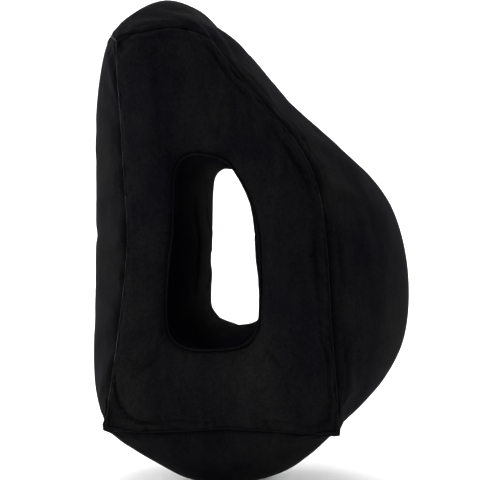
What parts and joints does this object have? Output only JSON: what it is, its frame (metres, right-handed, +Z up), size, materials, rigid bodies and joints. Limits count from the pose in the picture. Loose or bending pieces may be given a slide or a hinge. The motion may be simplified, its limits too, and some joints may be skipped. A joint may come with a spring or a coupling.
{
  "type": "face cradle cushion",
  "caption": "Flocked inflatable wedge cushion with a domed base, sloped brow and a tall D-shaped arm tunnel from side to side.",
  "frame": {"origin": "on the floor under the middle of the bounding box; the middle plane of the cushion is Y = 0", "axes": "+Z up, as the cushion stands on its base; +X to the front, where the slope and belly are; the arm tunnel runs along Y, left side at +Y"},
  "size_m": [0.339, 0.3059, 0.5182],
  "materials": {
    "flocked_film": "short matt flock on vinyl film, like velvet",
    "welded_seam": "flock pressed flat by the weld, satin",
    "bare_film": "smooth unflocked film, satin",
    "soft_vinyl": "soft moulded vinyl, satin",
    "valve_plastic": "fine moulded texture",
    "flap_rubber": "matt silicone"
  },
  "bodies": {
    "shell": {"front_panel": "flocked_film", "back_panel": "flocked_film", "base_panel": "flocked_film", "side_panel_left": "flocked_film", "side_panel_right": "flocked_film", "tunnel_sleeve": "flocked_film", "side_seam_left": "welded_seam", "side_seam_right": "welded_seam", "tunnel_seam_left": "welded_seam", "tunnel_seam_right": "welded_seam", "top_back_seam": "welded_seam", "base_front_seam": "welded_seam", "back_base_seam": "welded_seam", "back_web_left": "bare_film", "back_web_right": "bare_film", "slope_web": "bare_film", "valve_base": "soft_vinyl"},
    "plug": {"valve_plug": "valve_plastic", "stem_guide": "valve_plastic", "cap_strap": "soft_vinyl"},
    "cap": {"valve_cap": "valve_plastic"},
    "flap": {"check_flap": "flap_rubber", "flap_stem": "flap_rubber"}
  },
  "joints": [
    {"name": "plug_pull", "type": "slide", "parent": "shell", "child": "plug", "axis": [0, 1, 0], "range_m": [0, 0.016]},
    {"name": "cap_hinge", "type": "hinge", "parent": "plug", "child": "cap", "pos_m": [-0.074, 0.1511, 0.126], "axis": [1, 0, 0], "range_deg": [0, 110]},
    {"name": "flap_lift", "type": "slide", "parent": "plug", "child": "flap", "axis": [0, -1, 0], "range_m": [0, 0.0022], "stiffness_N_per_m": 10}
  ]
}
